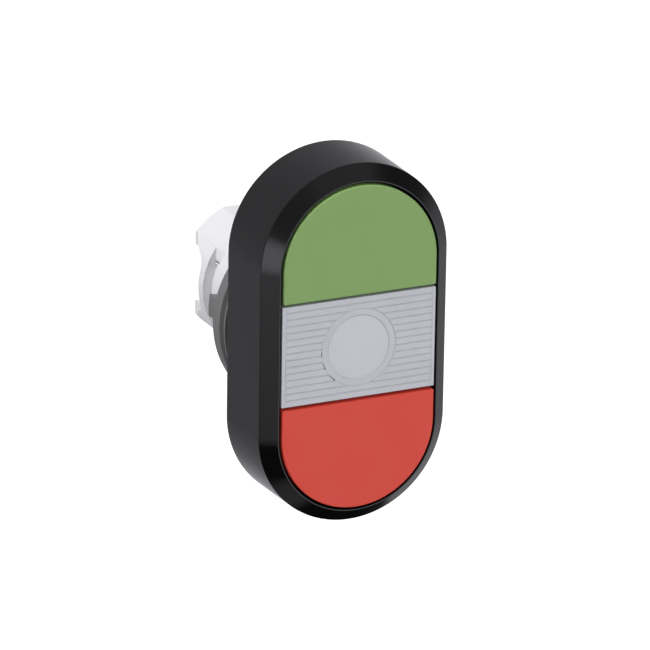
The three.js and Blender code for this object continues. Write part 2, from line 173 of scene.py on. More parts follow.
def merge_close(bm, distance):
    """Removes the tiny edges and faces that lie within a distance of each other."""
    bmesh.ops.remove_doubles(bm, verts=bm.verts, dist=distance)
    bmesh.ops.dissolve_degenerate(bm, edges=bm.edges, dist=distance)


def object_from(bm, name="part"):
    merge_close(bm, TOUCHING)
    bmesh.ops.recalc_face_normals(bm, faces=bm.faces)
    mesh = bpy.data.meshes.new(name)
    bm.to_mesh(mesh)
    bm.free()
    obj = bpy.data.objects.new(name, mesh)
    bpy.context.scene.collection.objects.link(obj)
    return obj


def combine(target, tools, operation):
    """Joins solids to a target, or cuts them from it."""
    for tool in tools:
        modifier = target.modifiers.new("combine", "BOOLEAN")
        modifier.operation = operation
        modifier.solver = "EXACT"
        modifier.object = tool
    bake(target)
    bm = bmesh.new()
    bm.from_mesh(target.data)
    merge_close(bm, SLIVER)
    bm.to_mesh(target.data)
    bm.free()
    for tool in tools:
        bpy.data.objects.remove(tool)
    return target


def cut(target, *tools):
    return combine(target, tools, "DIFFERENCE")


def join(target, *tools):
    return combine(target, tools, "UNION")


def bevel(obj, width, segments=3, angle=32):
    """Rounds the edges sharper than an angle in degrees."""
    modifier = obj.modifiers.new("bevel", "BEVEL")
    modifier.width = width
    modifier.segments = segments
    modifier.limit_method = "ANGLE"
    modifier.angle_limit = math.radians(angle)
    bake(obj)
    return obj


def fillet(before, corner, after, radius, steps):
    """Points of the arc that rounds a corner between two straight lines."""
    to_before = (before - corner).normalized()
    to_after = (after - corner).normalized()
    half = to_before.angle(to_after) / 2
    centre = corner + (to_before + to_after).normalized() * (radius / math.sin(half))
    start = corner + to_before * (radius / math.tan(half)) - centre
    end = corner + to_after * (radius / math.tan(half)) - centre
    first = math.atan2(start.y, start.x)
    turn = math.atan2(end.y, end.x) - first
    turn = (turn + math.pi) % (2 * math.pi) - math.pi
    return [
        centre + radius * Vector((math.cos(first + turn * i / steps), math.sin(first + turn * i / steps)))
        for i in range(steps + 1)
    ]


def soft_ends(front, rear, front_round, rear_round, steps=5):
    """A straight wall's profile whose two edges are quarter rounds; its ends are flat faces."""
    points = []
    for i in range(steps + 1):
        angle = math.pi / 2 * i / steps
        inward, back = math.sin(angle) - 1, 1 - math.cos(angle)
        points.append(Vector((front_round * inward, front + front_round * back)))
    for i in range(steps + 1):
        angle = math.pi / 2 * i / steps
        inward, back = math.cos(angle) - 1, math.sin(angle) - 1
        points.append(Vector((rear_round * inward, rear + rear_round * back)))
    return points


def rounded(corners, closed=False, steps=4):
    """A profile from corners (offset, y, fillet radius)."""
    points = []
    last = len(corners) - 1
    for i, (offset, y, radius) in enumerate(corners):
        corner = Vector((offset, y))
        if radius == 0 or (not closed and i in (0, last)):
            points.append(corner)
            continue
        before = Vector(corners[i - 1][:2])
        after = Vector(corners[(i + 1) % len(corners)][:2])
        points.extend(fillet(before, corner, after, radius, steps))
    return points


def arc_path(x, z, radius, first, last, steps):
    """Columns (base point, outward direction) along an arc; angles in degrees from +X to +Z."""
    columns = []
    for i in range(steps + 1):
        angle = math.radians(first + (last - first) * i / steps)
        out = Vector((math.cos(angle), math.sin(angle)))
        columns.append((Vector((x, z)) + radius * out, out))
    return columns


def circle_path(x=0.0, z=0.0, steps=128):
    return arc_path(x, z, 0, 0, 360, steps)[:-1]


def stadium_path(steps=96):
    upper = arc_path(0, HALF_STRAIGHT, 0, 0, 180, steps)
    lower = arc_path(0, -HALF_STRAIGHT, 0, 180, 360, steps)
    return upper + lower


def rectangle_path(x, z, corner, steps=6):
    """A rectangle with rounded corners; x and z are its (low, high) limits."""
    spots = [(x[1], z[1], 0), (x[0], z[1], 90), (x[0], z[0], 180), (x[1], z[0], 270)]
    columns = []
    for spot_x, spot_z, first in spots:
        inner_x = spot_x - corner if spot_x == x[1] else spot_x + corner
        inner_z = spot_z - corner if spot_z == z[1] else spot_z + corner
        columns += arc_path(inner_x, inner_z, corner, first, first + 90, steps)
    return columns


def cap_path(half, radius, floor, corner, steps=96):
    """The outline of a cap: a half circle closed by a straight edge near the lens."""
    columns = arc_path(0, HALF_STRAIGHT, radius, 0, 180, steps)
    columns += arc_path(corner - radius, floor + corner, corner, 180, 270, 6)
    columns += arc_path(radius - corner, floor + corner, corner, 270, 360, 6)
    if half < 0:
        flip = Vector((1, -1))
        columns = [(base * flip, out * flip) for base, out in columns]
    return columns


def sweep(path, profile, closed=False):
    """A solid whose wall follows a profile of (offset, y) round a closed path of columns."""
    bm = bmesh.new()
    grid = []
    for base, out in path:
        column = []
        for offset, y in profile:
            spot = base + offset * out
            column.append(bm.verts.new((spot.x, y, spot.y)))
        grid.append(column)
    rows = len(profile) if closed else len(profile) - 1
    for i, column in enumerate(grid):
        following = grid[(i + 1) % len(grid)]
        for j in range(rows):
            k = (j + 1) % len(profile)
            bm.faces.new((column[j], column[k], following[k], following[j]))
    if not closed:
        bm.faces.new([column[0] for column in grid])
        bm.faces.new([column[-1] for column in reversed(grid)])
    return object_from(bm)


def turned(corners, closed=False, steps=128, x=0.0, z=0.0):
    """A solid of revolution about a line along Y; corners are (radius, y, fillet radius)."""
    return sweep(circle_path(x, z, steps), rounded(corners, closed), closed)


def drum(radius, front, rear, x=0.0, z=0.0, steps=96):
    """A plain cylinder along Y, to cut or join with."""
    return sweep(circle_path(x, z, steps), [Vector((radius, front)), Vector((radius, rear))])


def block(x, y, z, corner=0.0):
    """A box, or with a corner radius one whose edges along Y are rounded."""
    path = rectangle_path(x, z, corner, 5) if corner else rectangle_path(x, z, 0, 1)
    return sweep(path, [Vector((0, y[0])), Vector((0, y[1]))])


def sector(inner, outer, front, rear, first, last, steps=24):
    """A piece of a ring about the Y axis, between two angles in degrees."""
    outside = arc_path(0, 0, outer, first, last, steps)
    inside = arc_path(0, 0, inner, last, first, steps)
    columns = [(base, Vector((0, 0))) for base, _ in outside + inside]
    return sweep(columns, [Vector((0, front)), Vector((0, rear))])


def prism(outline, front, rear):
    """A straight-sided solid over an outline of (x, z) points."""
    columns = [(Vector(point), Vector((0, 0))) for point in outline]
    return sweep(columns, [Vector((0, front)), Vector((0, rear))])


def wire(points, radius, sides=10):
    """A round wire along a list of points, with flat ends."""
    bm = bmesh.new()
    rings = []
    for i, point in enumerate(points):
        ahead = points[min(i + 1, len(points) - 1)] - points[max(i - 1, 0)]
        across = ahead.cross(Vector((0, 1, 0))).normalized()
        lift = across.cross(ahead).normalized()
        ring = []
        for side in range(sides):
            angle = 2 * math.pi * side / sides
            ring.append(bm.verts.new(point + radius * (math.cos(angle) * across + math.sin(angle) * lift)))
        rings.append(ring)
    for one, other in zip(rings, rings[1:]):
        for side in range(sides):
            after = (side + 1) % sides
            bm.faces.new((one[side], one[after], other[after], other[side]))
    bm.faces.new(rings[0])
    bm.faces.new(rings[-1])
    return object_from(bm)


def finish(obj, name, body, node, material, sharp=38):
    """Turns a solid in millimetres into a finished piece that stands for a CAD node."""
    obj.name = name
    obj.data.name = name
    obj.data.transform(Matrix.Scale(MM, 4))
    obj.data.materials.clear()
    obj.data.materials.append(material)
    for face in obj.data.polygons:
        face.use_smooth = True
    obj.data.set_sharp_from_angle(angle=math.radians(sharp))
    weighted = obj.modifiers.new("even_shading", "WEIGHTED_NORMAL")
    weighted.keep_sharp = True
    bake(obj)
    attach(obj, body)
    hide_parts(node)
    return obj


# ---------------------------------------------------------------- materials

MOTTLE_SIZE = 5.0  # how far apart the paler and darker patches of a moulding are
GLOSS_SPREAD = 0.1
GRAIN_DEPTH = 0.01


def noise(tree, coordinates, size, detail=3.0):
    """A noise texture whose features are about size millimetres across."""
    node = tree.nodes.new("ShaderNodeTexNoise")
    node.inputs["Scale"].default_value = 1 / (size * MM)
    node.inputs["Detail"].default_value = detail
    tree.links.new(coordinates.outputs["Object"], node.inputs["Vector"])
    return node


def spread(tree, source, low, high):
    """Maps a noise, which mostly lies between 0.3 and 0.7, onto low to high."""
    node = tree.nodes.new("ShaderNodeMapRange")
    node.inputs["From Min"].default_value = 0.3
    node.inputs["From Max"].default_value = 0.7
    node.inputs["To Min"].default_value = low
    node.inputs["To Max"].default_value = high
    tree.links.new(source.outputs["Fac"], node.inputs["Value"])
    return node


def moulded(name, colour, roughness, grain=0.15, grain_size=0.12, mottle=0.03, specular=0.5, **extra):
    """Moulded plastic or rubber: fine surface grain, and colour and gloss that vary a little."""
    material = bpy.data.materials.new(name)
    material.use_nodes = True
    tree = material.node_tree
    shader = tree.nodes["Principled BSDF"]
    coordinates = tree.nodes.new("ShaderNodeTexCoord")
    broad = noise(tree, coordinates, MOTTLE_SIZE)
    fine = noise(tree, coordinates, grain_size, 2.0)

    value = spread(tree, broad, 1 - mottle, 1 + mottle)
    tint = tree.nodes.new("ShaderNodeVectorMath")
    tint.operation = "SCALE"
    tint.inputs[0].default_value = colour
    tree.links.new(value.outputs["Result"], tint.inputs["Scale"])
    tree.links.new(tint.outputs["Vector"], shader.inputs["Base Color"])

    gloss = spread(tree, broad, roughness * (1 - GLOSS_SPREAD), roughness * (1 + GLOSS_SPREAD))
    tree.links.new(gloss.outputs["Result"], shader.inputs["Roughness"])

    bump = tree.nodes.new("ShaderNodeBump")
    bump.inputs["Strength"].default_value = grain
    bump.inputs["Distance"].default_value = GRAIN_DEPTH * MM
    tree.links.new(fine.outputs["Fac"], bump.inputs["Height"])
    tree.links.new(bump.outputs["Normal"], shader.inputs["Normal"])

    shader.inputs["Specular IOR Level"].default_value = specular
    for socket, setting in extra.items():
        shader.inputs[socket.replace("_", " ")].default_value = setting
    return material


BLACK_SATIN = moulded("black_satin", (0.0035, 0.0035, 0.0038), 0.09, grain=0.3, grain_size=0.2, mottle=0.1)
BLACK_MATTE = moulded("black_matte", (0.012, 0.012, 0.0125), 0.55, grain=0.5)
RUBBER = moulded("seal_rubber", (0.012, 0.012, 0.012), 0.8, grain=0.8, grain_size=0.2)
WHITE = moulded("white_plastic", (0.86, 0.86, 0.87), 0.45, grain=0.3, mottle=0.01)
GREY = moulded("grey_plastic", (0.19, 0.19, 0.192), 0.55, grain=0.6, mottle=0.04)
GREEN = moulded("green_plastic", (0.25, 0.406, 0.136), 0.5, grain=0.3, mottle=0.012)
RED = moulded("red_plastic", (0.768, 0.07, 0.044), 0.5, grain=0.3, mottle=0.012)
LENS = moulded("ribbed_lens", (0.58, 0.59, 0.63), 0.18, grain=0.1, mottle=0.03)
MILKY = moulded("milky_dome", (0.66, 0.67, 0.71), 0.35, grain=0.1, mottle=0.01)
GUIDE_CLEAR = moulded("guide_clear", (0.93, 0.95, 0.97), 0.12, grain=0.05, Transmission_Weight=0.5)
STEEL = moulded("spring_steel", (0.55, 0.55, 0.56), 0.3, grain=0.2, grain_size=0.05, Metallic=1.0)


# ---------------------------------------------------------------- head


def bezel():
    shell = sweep(
        stadium_path(),
        rounded(
            [
                (LIP_R, FRONT_Y, LIP_LAND / 2 - HAIR / 2),
                (LIP_R + LIP_LAND, FRONT_Y, LIP_LAND / 2 - HAIR / 2),
                (CHAMFER_R, FRONT_Y + CHAMFER_DEPTH, 0.22),
                (HEAD_R, HEAD_REAR_Y, 0.3),
                (REAR_RECESS_R, HEAD_REAR_Y, 0.15),
                (REAR_RECESS_R, RECESS_FRONT_Y, 0),
                (LIP_R, RECESS_FRONT_Y, 0.15),
            ],
            closed=True,
            steps=5,
        ),
        closed=True,
    )
    pockets = []
    for side in (-1, 1):
        for half in (-1, 1):
            reach = side * (LIP_R + LUG_POCKET["reach"])
            centre = half * LUG_POCKET["z"]
            pockets.append(
                block(
                    sorted((0, reach)),
                    (LUG_POCKET["front"], LUG_POCKET["rear"]),
                    (centre - LUG_POCKET["half"], centre + LUG_POCKET["half"]),
                )
            )
    cut(shell, *pockets)
    finish(shell, "bezel_moulding", "operator", "bezel", BLACK_SATIN)


def base_plate():
    radius = PLATE_HIGH.x
    front, rear = PLATE_FRONT_Y, PLATE_HIGH.y
    edge = 0.2
    plate = sweep(
        stadium_path(),
        rounded(
            [(radius - 1, front, 0), (radius, front, edge), (radius, rear, edge), (radius - 1, rear, 0)]
        ),
    )
    posts = []
    for x in (-1, 1):
        for z in (-1, 1):
            spot = Vector((SPRING_LOW + SPRING_HIGH) / 2)
            tip, post = PLATE_LOW.y, SPRING_POST_R
            corners = [(0, tip, 0), (post, tip, 0.35), (post, rear, 0), (0, rear, 0)]
            posts.append(turned(corners, steps=32, x=x * spot.x, z=z * spot.z))
    join(plate, *posts)
    cut(plate, drum(NUT_BORE, -FAR, FAR))
    finish(plate, "base_moulding", "operator", "base_plate", BLACK_MATTE)


def panel_gasket():
    radius = GASKET_HIGH.x
    front, rear = GASKET_LOW.y, GASKET_HIGH.y
    web = rear - GASKET_LIP
    gasket = sweep(
        stadium_path(),
        rounded(
            [
                (radius - 1, front, 0),
                (radius, front, 0.15),
                (radius, rear, 0.2),
                (radius - 0.7, rear, 0.15),
                (radius - 0.95, web, 0.1),
                (radius - 1.25, web, 0.1),
                (radius - 1.5, rear, 0.15),
                (radius - 2.2, rear, 0.15),
                (radius - 2.45, web, 0.1),
                (radius - 3, web, 0),
            ]
        ),
    )
    cut(gasket, drum(NUT_BORE, -FAR, FAR, steps=128))
    finish(gasket, "gasket_moulding", "operator", "panel_gasket", RUBBER)


# ---------------------------------------------------------------- buttons


def cap(colour, half, material):
    rear = CAP_HIGH.y
    shell = sweep(
        cap_path(half, CAP_R, CAP_FLOOR_Z, CAP_CORNER),
        soft_ends(CAP_LOW.y, rear, CAP_ROUND, 0.1),
    )
    inside = CAP_INSIDE_Y
    cavity = sweep(
        cap_path(half, CAP_R - CAP_WALL, CAP_FLOOR_Z + CAP_WALL, 0.6, 64),
        [Vector((0, inside)), Vector((0, rear + 1))],
    )
    notch = block(
        (PLUNGER_LOW.x - SLIDE_GAP, PLUNGER_HIGH.x + SLIDE_GAP),
        (inside, rear + 1),
        sorted((0, half * (CAP_FLOOR_Z + 2 * CAP_WALL))),
    )
    cut(shell, cavity, notch)
    spot = (SPRING_LOW + SPRING_HIGH) / 2
    extras = []
    for side in (-1, 1):
        socket = [
            (SPRING_SOCKET["inner"], inside - SPRING_SOCKET["root"], 0),
            (SPRING_SOCKET["outer"], inside - SPRING_SOCKET["root"], 0),
            (SPRING_SOCKET["outer"], inside + SPRING_SOCKET["depth"], 0.15),
            (SPRING_SOCKET["inner"], inside + SPRING_SOCKET["depth"], 0.15),
        ]
        extras.append(turned(socket, True, 48, side * spot.x, half * spot.z))
        centre = half * LUG_POCKET["z"]
        extras.append(
            block(
                sorted((side * (CAP_R - CAP_WALL), side * (CAP_R + CAP_LUG["reach"]))),
                (rear - CAP_LUG["length"], rear - HAIR / 2),
                (centre - CAP_LUG["half"], centre + CAP_LUG["half"]),
            )
        )
    join(shell, *extras)
    name, body = f"{colour}_cap_moulding", f"{colour}_button"
    finish(shell, name, body, f"{colour}_cap", material)


def plunger(colour, half):
    front, rear = PLUNGER_LOW.y, PLUNGER_HIGH.y
    plate_rear = front + PLUNGER_PLATE["thick"]
    lens_edge = CAP_FLOOR_Z
    reach = sorted((half * PLUNGER_LOW.z, half * PLUNGER_HIGH.z))
    plate = block((PLUNGER_LOW.x, PLUNGER_HIGH.x), (front, plate_rear), reach, PLUNGER_PLATE["corner"])
    rod = [(0, front + 1, 0), (PLUNGER_R, front + 1, 0), (PLUNGER_R, rear, 0.4), (0, rear, 0)]
    join(plate, turned(rod, steps=48, z=half * PLUNGER_Z))
    cut(plate, block((-FAR, FAR), (-FAR, FRONT_Y + LENS_THICK + SLIDE_GAP), (-lens_edge, lens_edge)))
    bevel(plate, SOFT_EDGE, 2)
    name, body = f"{colour}_plunger_moulding", f"{colour}_button"
    finish(plate, name, body, f"{colour}_plunger", WHITE)


def boot(colour, half):
    """A rubber bellows; its folds are round waves."""
    front, rear = BOOT_LOW.y, BOOT_HIGH.y
    steps = 48
    outside = []
    for i in range(steps + 1):
        share = i / steps
        wave = 0.5 - 0.5 * math.cos(2 * math.pi * BOOT["folds"] * share)
        radius = BOOT["inner"] + BOOT["wall"] + BOOT["depth"] * wave
        outside.append(Vector((radius, front + (rear - front) * share)))
    inside = [Vector((point.x - BOOT["wall"], point.y)) for point in reversed(outside)]
    bellows = sweep(circle_path(0, half * PLUNGER_Z, 48), outside + inside, closed=True)
    finish(bellows, f"{colour}_boot_bellows", "operator", f"{colour}_boot", RUBBER)
    squash_with(bellows)


def squash_with(obj):
    """Gives a piece its own copy of its mesh."""
    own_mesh(obj)


def spring(colour, half, side):
    front, rear = SPRING_LOW.y, SPRING_HIGH.y
    centre = (SPRING_LOW + SPRING_HIGH) / 2
    wire_r, turns = SPRING["wire"], SPRING["turns"]
    coil_r = (SPRING_HIGH.x - SPRING_LOW.x) / 2 - wire_r
    steps = turns * SPRING["steps_per_turn"]
    points = []
    for i in range(steps + 1):
        share = i / steps
        angle = 2 * math.pi * turns * share
        # the coils lie closer together at the two ends, as they do on a ground spring
        rise = share - SPRING["end_closing"] * math.sin(2 * math.pi * share)
        y = front + wire_r + (rear - front - 2 * wire_r) * rise
        x = side * centre.x + coil_r * math.cos(angle)
        points.append(Vector((x, y, half * centre.z + coil_r * math.sin(angle))))
    coil = wire(points, wire_r)
    hand = "right" if side > 0 else "left"
    finish(coil, f"{colour}_coil_{hand}", "operator", f"{colour}_spring_{hand}", STEEL)
    squash_with(coil)


# ---------------------------------------------------------------- lens and light path


def lens():
    half = LENS_HIGH.x
    plate = sweep(
        rectangle_path((-half, half), (LENS_LOW.z, LENS_HIGH.z), LENS_CORNER),
        soft_ends(FRONT_Y, FRONT_Y + LENS_THICK, 0.1, 0.1),
    )
    legs = []
    for side in (-1, 1):
        leg_x = sorted((side * LENS_LEG["inner"], side * (half - HAIR / 2)))
        leg_z = (-LENS_LEG["half"], LENS_LEG["half"])
        legs.append(block(leg_x, (FRONT_Y + 1, LENS_HIGH.y), leg_z, LENS_LEG["corner"]))
    join(plate, *legs)
    rear = FRONT_Y + LENS_THICK
    window = turned(
        [
            (0, FRONT_Y - 1, 0),
            (RING["edge"], FRONT_Y - 1, 0),
            (RING["edge"], FRONT_Y, 0),
            (RING["low"], RING["low_y"], 0.08),
            (RING["brim"], RING["brim_y"], 0.08),
            (SEAT["bore"], SEAT["front"], 0),
            (SEAT["radius"], SEAT["front"], 0),
            (SEAT["radius"], rear + 1, 0),
            (0, rear + 1, 0),
        ]
    )
    inner, outer = RING["low"] - HAIR, RING["edge"] + 2 * HAIR
    slot_front, slot_floor = FRONT_Y - 0.2, SNAP_SLOTS["floor_y"]
    slots = [sector(inner, outer, slot_front, slot_floor, *ends, 6) for ends in SNAP_SLOTS["angles"]]
    cut(plate, window, *slots)
    cut(plate, *lens_grooves())
    finish(plate, "lens_moulding", "operator", "lens", LENS, sharp=20)


def lens_grooves():
    """Fine V grooves across the lens, in two lengths that stop at the window's rim."""
    half, depth = GROOVES["width"] / 2, GROOVES["depth"]
    edge = LENS_HIGH.x - GROOVES["margin"]
    rim = RING["edge"] - HAIR
    tools = []
    for i in range(GROOVES["count"]):
        z = (i - (GROOVES["count"] - 1) / 2) * GROOVES["pitch"]
        if abs(z) < rim:
            stop = math.sqrt(rim**2 - z**2)
            tools += [vee_bar(-edge, -stop, z, half, depth), vee_bar(stop, edge, z, half, depth)]
        else:
            tools.append(vee_bar(-edge, edge, z, half, depth))
    return tools + [border_line(side * edge) for side in (-1, 1)]


def border_line(x):
    """A hair-fine line up the lens where the grooves end."""
    half = BORDER_LINE / 2
    return block((x - half, x + half), (FRONT_Y - 1, FRONT_Y + half), (LENS_LOW.z + 0.2, LENS_HIGH.z - 0.2))


def vee_bar(first_x, last_x, z, half, depth):
    bm = bmesh.new()
    section = [(-0.5, -half * 1.5), (-0.5, half * 1.5), (0, half), (depth, 0), (0, -half)]
    ends = []
    for x in (first_x, last_x):
        ends.append([bm.verts.new((x, FRONT_Y + y, z + rise)) for y, rise in section])
    for i in range(len(section)):
        k = (i + 1) % len(section)
        bm.faces.new((ends[0][i], ends[0][k], ends[1][k], ends[1][i]))
    bm.faces.new(ends[0])
    bm.faces.new(ends[1])
    return object_from(bm)


def diffuser():
    """A shallow dome that fills the lens's round window; its rim sits in the seat behind the lens."""
    radius = SEAT["radius"] - 0.05
    edge_y = SEAT["front"] + HAIR
    steps = 16
    profile = []
    for i in range(steps + 1):
        share = i / steps
        profile.append(Vector((radius * share, edge_y - DOME_RISE * (1 - share**2))))
    rear = DIFFUSER_REAR_Y
    profile += rounded([(radius, edge_y, 0), (radius, rear, 0.1), (0, rear, 0)])[1:]
    body = sweep(circle_path(steps=128), profile)
    finish(body, "diffuser_dome", "operator", "diffuser", MILKY)


def light_guide():
    front, rear = GUIDE_LOW.y, GUIDE_HIGH.y
    flange_rear = SEAL_LOW.y - SLIDE_GAP
    core = GUIDE_CORE_R
    body = turned(
        [
            (0, front, 0),
            (core, front, 0.2),
            (core, flange_rear - GUIDE_FLANGE, 0.1),
            (GUIDE_HIGH.x, flange_rear - GUIDE_FLANGE, 0.15),
            (GUIDE_HIGH.x, flange_rear, 0.15),
            (core, flange_rear, 0.1),
            (core, rear, 0.5),
            (0, rear, 0),
        ],
        steps=64,
    )
    finish(body, "light_guide_rod", "operator", "light_guide", GUIDE_CLEAR)


def guide_seal():
    front, rear = SEAL_LOW.y, SEAL_HIGH.y
    inner, outer, edge = SEAL_BORE_R, SEAL_HIGH.x, 0.1
    corners = [(inner, front, edge), (outer, front, edge), (outer, rear, edge), (inner, rear, edge)]
    body = turned(corners, closed=True, steps=64)
    finish(body, "light_guide_ring", "operator", "light_guide_seal", RUBBER)


def guide_holes():
    """Cutters for the two plungers and the light guide."""
    holes = [drum(PLUNGER_R + PLUNGER_GAP, -FAR, FAR, z=half * PLUNGER_Z, steps=46) for half in (-1, 1)]
    return [*holes, drum(GUIDE_CORE_R + SLIDE_GAP, -FAR, FAR, steps=64)]


def plunger_guide():
    radius = INSERT_HIGH.x
    front, rear = INSERT_LOW.y, INSERT_HIGH.y
    disc = turned([(0, front, 0), (radius, front, 0.2), (radius, rear, 0.2), (0, rear, 0)])
    cut(disc, *guide_holes())
    bevel(disc, SOFT_EDGE, 2)
    finish(disc, "plunger_guide_disc", "operator", "plunger_guide", BLACK_MATTE)


# ---------------------------------------------------------------- barrel and nut


def thread_corners():
    """The M22 thread on the neck, as rings."""
    corners = []
    y = THREAD["front"]
    while y < THREAD["rear"] - THREAD["pitch"] / 2:
        corners.append((NECK_R, y, 0))
        corners.append((NECK_R - THREAD["depth"], y + THREAD["pitch"] / 2, 0))
        y += THREAD["pitch"]
    return corners


def groove_cutter(centre):
    """One bayonet groove: a floor, and at each end a low step, a slit and a flat ramp up to the surface."""
    half = BAYONET["half_angle"]
    ramp_end = half - BAYONET_RAMP["angle"]
    slit_end = ramp_end - SLIT["angle"]
    step_end = slit_end - SLIT["step_angle"]
    end = [
        (half, BARREL_R + HAIR),
        (ramp_end, BAYONET_RAMP["foot"]),
        (ramp_end, SLIT["floor"]),
        (slit_end, SLIT["floor"]),
        (slit_end, SLIT["step"]),
        (step_end, SLIT["step"]),
    ]
    steps = 24
    floor = [(step_end - 2 * step_end * i / steps, BAYONET["floor"]) for i in range(steps + 1)]
    outside = [(-half + 2 * half * i / steps, BARREL_R + 1) for i in range(steps + 1)]
    corners = end + floor + [(-degrees, radius) for degrees, radius in reversed(end)] + outside
    outline = []
    for degrees, radius in corners:
        angle = math.radians(centre + degrees)
        outline.append((radius * math.cos(angle), radius * math.sin(angle)))
    return prism(outline, BAYONET["front"], BAYONET["rear"])


def barrel():
    corners = [
        (0, BARREL_LOW.y, 0),
        (NECK_R - 0.3, BARREL_LOW.y, 0.1),
        (NECK_R - 0.3, FLANGE_REAR_Y, 0),
        *thread_corners(),
        (NECK_R, THREAD["rear"], 0),
        (NECK_R, NECK_REAR_Y, 0.1),
        (BARREL_R, NECK_REAR_Y, 0),
        (BARREL_R, BARREL_HIGH.y, 0.25),
        (REAR_BORE["radius"], BARREL_HIGH.y, 0.2),
        (REAR_BORE["radius"], REAR_BORE["front"] + 0.3, 0),
        (BORE_R, REAR_BORE["front"], 0),
        (BORE_R, WEB_REAR_Y, 0),
        (0, WEB_REAR_Y, 0),
    ]
    shaft = turned(corners, steps=180)
    front, rear = BARREL_LOW.y, FLANGE_REAR_Y
    flange = turned([(0, front, 0), (FLANGE_R, front, 0.1), (FLANGE_R, rear, 0.1), (0, rear, 0)])
    whole = (-FAR, FAR)
    cut(flange, *[block(sorted((side * FLANGE_FLAT_X, side * FAR)), whole, whole) for side in (-1, 1)])
    join(shaft, flange)
    flats = []
    for side in (-1, 1):
        upright = sorted((side * TOOTH_FLAT["z"], side * FAR))
        flats.append(block(whole, (TOOTH_FLAT["front"], FAR), upright))
        flats.append(tooth_flat(side))
    cut(shaft, side_window(), *flats)
    bevel(shaft, SOFT_EDGE, 2)
    cut(shaft, *guide_holes(), groove_cutter(0), groove_cutter(180))
    finish(shaft, "barrel_moulding", "operator", "barrel", WHITE)


def prism_along_x(outline, x):
    """A straight-sided solid over an outline of (y, z) points, between two values of x."""
    bm = bmesh.new()
    ends = [[bm.verts.new((spot_x, spot_y, spot_z)) for spot_y, spot_z in outline] for spot_x in x]
    for i in range(len(outline)):
        k = (i + 1) % len(outline)
        bm.faces.new((ends[0][i], ends[0][k], ends[1][k], ends[1][i]))
    bm.faces.new(ends[0])
    bm.faces.new(ends[1])
    return object_from(bm)


def side_window():
    """The opening through both sides of the barrel's rear end; its two front corners are round."""
    half, front, corner = SIDE_WINDOW["half"], SIDE_WINDOW["front"], SIDE_WINDOW["corner"]
    steps = 10
    outline = [(FAR, -half)]
    for centre_z, first, last in ((corner - half, 270, 180), (half - corner, 180, 90)):
        for i in range(steps + 1):
            angle = math.radians(first + (last - first) * i / steps)
            outline.append((front + corner + corner * math.cos(angle), centre_z + corner * math.sin(angle)))
    outline.append((FAR, half))
    return prism_along_x(outline, (-FAR, FAR))


def tooth_flat(side):
    """Cuts one side of the two rear teeth flat; the cut widens towards the rear."""
    outline = [(y, -z) for y, z in TOOTH_FLARE] + [(y, z) for y, z in reversed(TOOTH_FLARE)]
    return prism_along_x(outline, sorted((side * TOOTH_FLAT["x"], side * FAR)))


def clamp_nut():
    radius, front = NUT_HIGH.x, NUT_LOW.y
    groove = NUT_GROOVE
    body = turned(
        [
            (NUT_BORE, front, 0.2),
            (radius, front, 0.12),
            (radius, groove["front"], 0.1),
            (groove["radius"], groove["front"] + 0.15, 0.1),
            (groove["radius"], groove["rear"], 0.1),
            (radius, groove["rear"] + 0.15, 0.1),
            (radius, NUT_REAR_Y, 0.3),
            (NUT_BORE, NUT_REAR_Y, 0.2),
        ],
        closed=True,
        steps=180,
    )
    teeth = []
    for i in range(NUT_TEETH["count"]):
        first = NUT_TEETH["start"] + 360 / NUT_TEETH["count"] * i
        last = first + NUT_TEETH["width"]
        teeth.append(sector(NUT_BORE, NUT_TEETH["outer"], NUT_REAR_Y - 1, NUT_HIGH.y, first, last))
    join(body, *teeth)
    bevel(body, 0.15, 3)
    finish(body, "clamp_nut_ring", "operator", "clamp_nut", GREY)


# ---------------------------------------------------------------- the set

FLOOR = {"half_size": 3.0, "below": 0.12, "grey": 0.3, "glow": 0.215}  # metres, and how bright it is
WALLS = {"level": 0.36, "lean": 0.06, "tint": (0.97, 0.98, 1.03)}
TABLE_EDGE = {"towards": (0.2, 0, 1), "first": -0.62, "last": -0.56, "below": 0.02}
# Soft panels: the direction each lies in, its half width in degrees, and its brightness.
PANELS = [
    ((-0.85, -0.51, -0.08), 18, 1.5),
    ((-0.57, -0.58, 0.58), 30, -0.12),
    ((0.88, -0.13, 0.42), 35, -0.33),
    ((0.41, -0.85, -0.34), 35, 1.5),
    ((-0.28, -0.13, -0.95), 18, 0.3),
    ((0.42, 0.84, -0.36), 42, 0.12),
]


def studio_floor():
    bm = bmesh.new()
    bmesh.ops.create_grid(bm, x_segments=1, y_segments=1, size=FLOOR["half_size"])
    mesh = bpy.data.meshes.new("floor")
    bm.to_mesh(mesh)
    bm.free()
    floor = bpy.data.objects.new("floor", mesh)
    floor.location.z = BEZEL_LOW.z * MM - FLOOR["below"]
    floor.visible_glossy = False
    bpy.context.scene.collection.objects.link(floor)
    material = bpy.data.materials.new("floor_white")
    material.use_nodes = True
    tree = material.node_tree
    shader = tree.nodes["Principled BSDF"]
    shader.inputs["Base Color"].default_value = (FLOOR["grey"], FLOOR["grey"], FLOOR["grey"], 1)
    shader.inputs["Emission Color"].default_value = (1, 1, 1, 1)
    seen = tree.nodes.new("ShaderNodeLightPath")
    glow = tree.nodes.new("ShaderNodeMapRange")
    glow.inputs["To Min"].default_value = FLOOR["glow"]
    glow.inputs["To Max"].default_value = 1.0
    tree.links.new(seen.outputs["Is Camera Ray"], glow.inputs["Value"])
    tree.links.new(glow.outputs["Result"], shader.inputs["Emission Strength"])
    mesh.materials.append(material)


